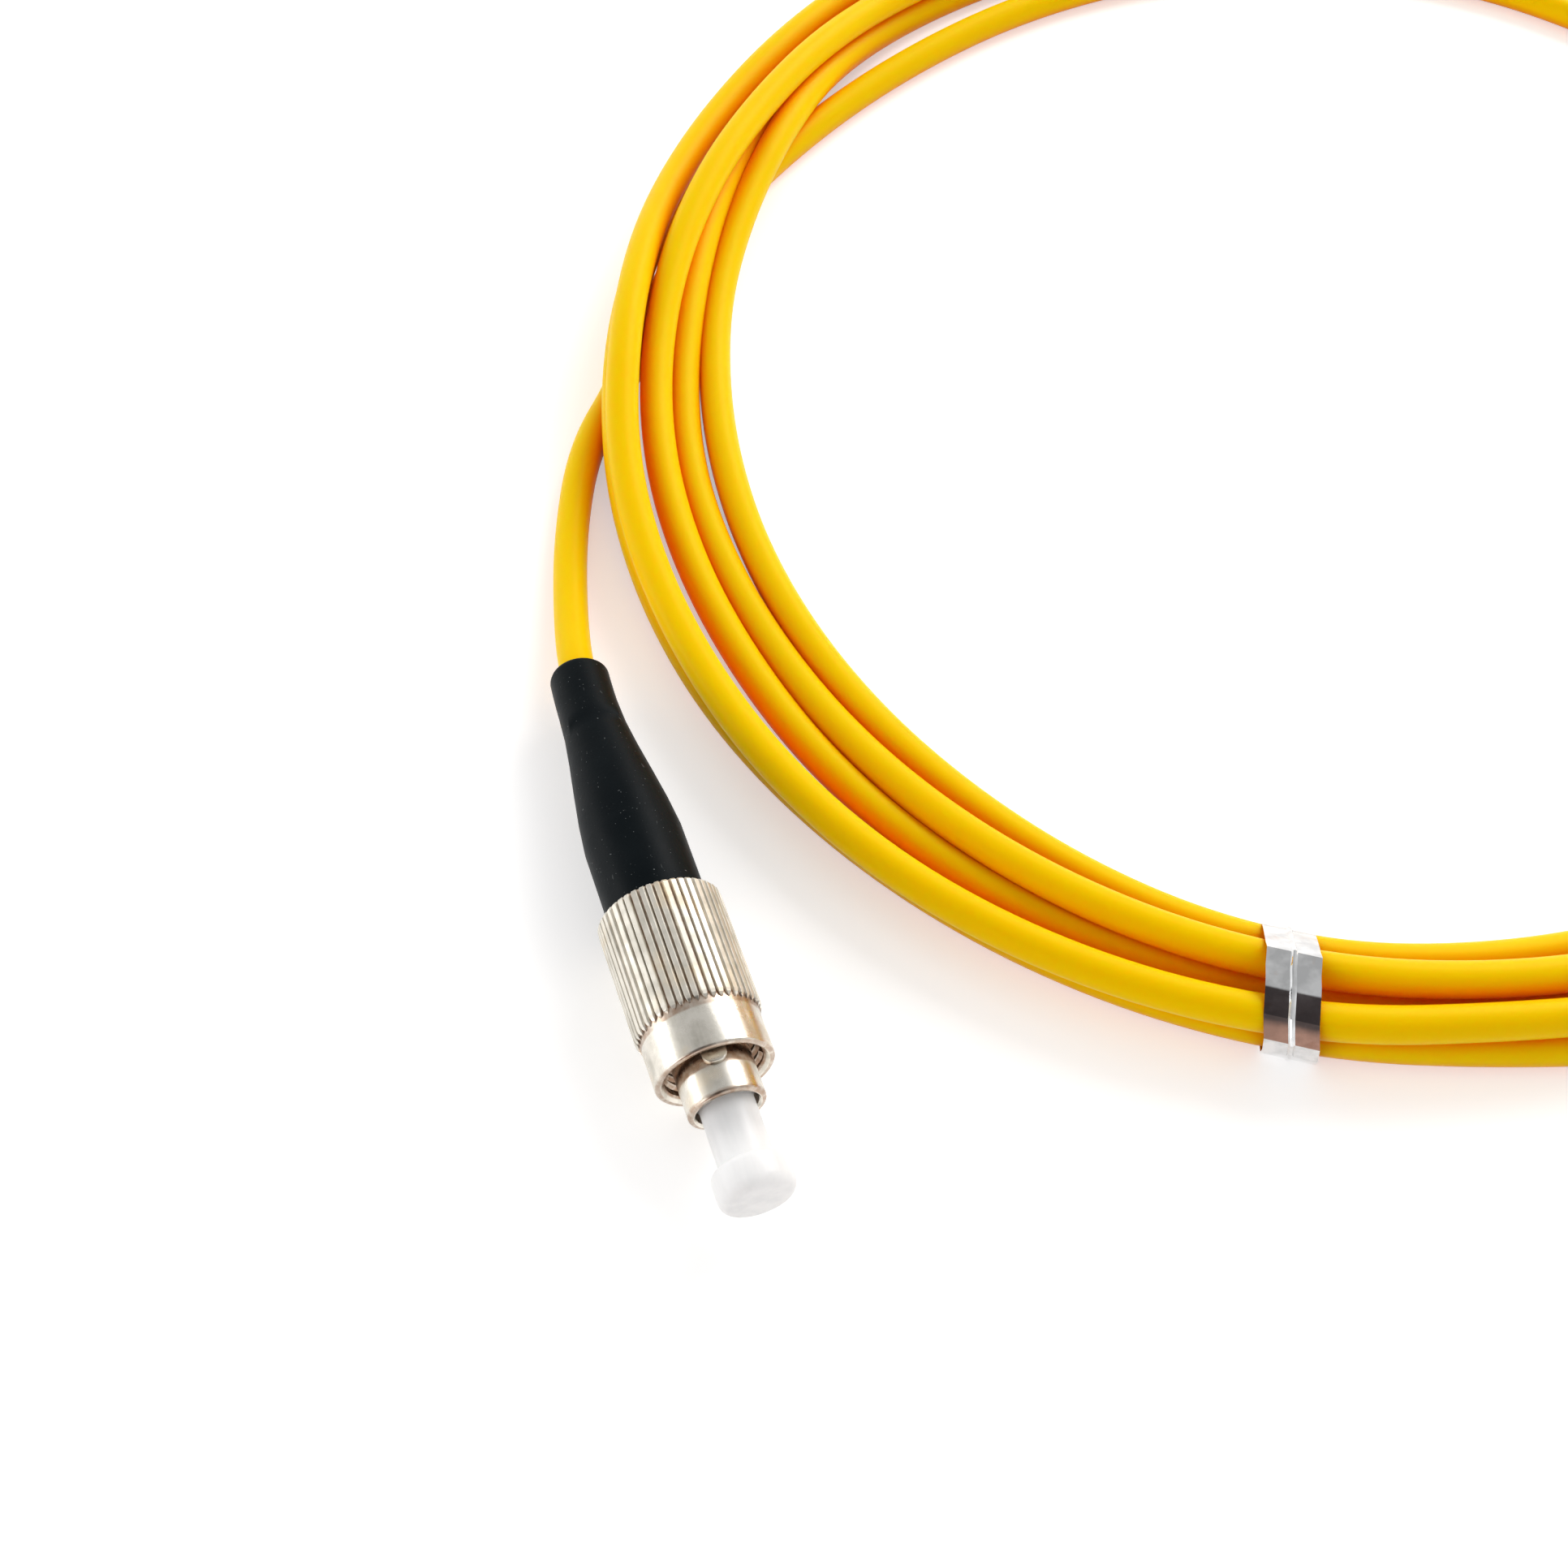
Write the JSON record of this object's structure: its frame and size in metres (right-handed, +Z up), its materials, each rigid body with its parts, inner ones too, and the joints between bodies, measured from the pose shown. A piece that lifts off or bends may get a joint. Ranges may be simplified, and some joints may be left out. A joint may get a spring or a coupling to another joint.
{
  "type": "fiber optic patch cord",
  "caption": "Yellow fibre optic patch cord in a tied coil, with a threaded round connector, rubber boot and dust cap on each end.",
  "frame": {"origin": "on the floor at the centre of the coil", "axes": "+Z up, -Y the way both connectors point, +X from the connector in the picture to the far one"},
  "size_m": [0.1715, 0.1483, 0.0105],
  "materials": {
    "yellow_jacket": "satin yellow cable jacket",
    "boot_rubber": "satin black moulded rubber",
    "nickel_plate": "nickel plated brass",
    "zirconia": "polished white zirconia",
    "stainless_steel": "turned stainless steel",
    "spring_steel": "drawn spring steel",
    "cap_plastic": "milky white soft plastic",
    "aramid": "golden strength yarn",
    "fibre_buffer": "white buffer coating",
    "fibre_glass": "bare glass fibre",
    "tie_foil": "mirror-like silver foil strip",
    "tie_wire": "soft steel wire"
  },
  "bodies": {
    "cord": {"cord_coil": "yellow_jacket", "twist_tie": "tie_foil", "tie_wire": "tie_wire", "cord_lead_a": "yellow_jacket", "boot_a": "boot_rubber", "crimp_sleeve_a": "nickel_plate", "aramid_yarn_a": "aramid", "rear_body_a": "nickel_plate", "spring_a": "spring_steel", "plug_barrel_a": "nickel_plate", "cord_lead_b": "yellow_jacket", "boot_b": "boot_rubber", "crimp_sleeve_b": "nickel_plate", "aramid_yarn_b": "aramid", "rear_body_b": "nickel_plate", "spring_b": "spring_steel", "plug_barrel_b": "nickel_plate"},
    "nut_ring_a": {"retaining_ring_a": "spring_steel"},
    "nut_a": {"coupling_nut_a": "nickel_plate"},
    "ferrule_a": {"ferrule_a": "zirconia", "ferrule_flange_a": "stainless_steel", "buffered_fibre_a": "fibre_buffer", "glass_fibre_a": "fibre_glass"},
    "cap_a": {"dust_cap_a": "cap_plastic"},
    "nut_ring_b": {"retaining_ring_b": "spring_steel"},
    "nut_b": {"coupling_nut_b": "nickel_plate"},
    "ferrule_b": {"ferrule_b": "zirconia", "ferrule_flange_b": "stainless_steel", "buffered_fibre_b": "fibre_buffer", "glass_fibre_b": "fibre_glass"},
    "cap_b": {"dust_cap_b": "cap_plastic"}
  },
  "joints": [
    {"name": "nut_slide_a", "type": "slide", "parent": "cord", "child": "nut_ring_a", "axis": [0, -1, 0], "range_m": [0, 0.004]},
    {"name": "nut_spin_a", "type": "hinge", "parent": "nut_ring_a", "child": "nut_a", "pos_m": [-0.08015, -0.0425, 0.005], "axis": [0, -1, 0], "continuous": true},
    {"name": "ferrule_float_a", "type": "slide", "parent": "cord", "child": "ferrule_a", "axis": [0, 1, 0], "range_m": [0, 0.001], "stiffness_N_per_m": 1500, "deforming": ["spring_a"]},
    {"name": "cap_pull_a", "type": "slide", "parent": "cord", "child": "cap_a", "axis": [0, -1, 0], "range_m": [0, 0.012]},
    {"name": "nut_slide_b", "type": "slide", "parent": "cord", "child": "nut_ring_b", "axis": [0, -1, 0], "range_m": [0, 0.004]},
    {"name": "nut_spin_b", "type": "hinge", "parent": "nut_ring_b", "child": "nut_b", "pos_m": [0.08145, -0.0282, 0.005], "axis": [0, -1, 0], "continuous": true},
    {"name": "ferrule_float_b", "type": "slide", "parent": "cord", "child": "ferrule_b", "axis": [0, 1, 0], "range_m": [0, 0.001], "stiffness_N_per_m": 1500, "deforming": ["spring_b"]},
    {"name": "cap_pull_b", "type": "slide", "parent": "cord", "child": "cap_b", "axis": [0, -1, 0], "range_m": [0, 0.012]}
  ]
}
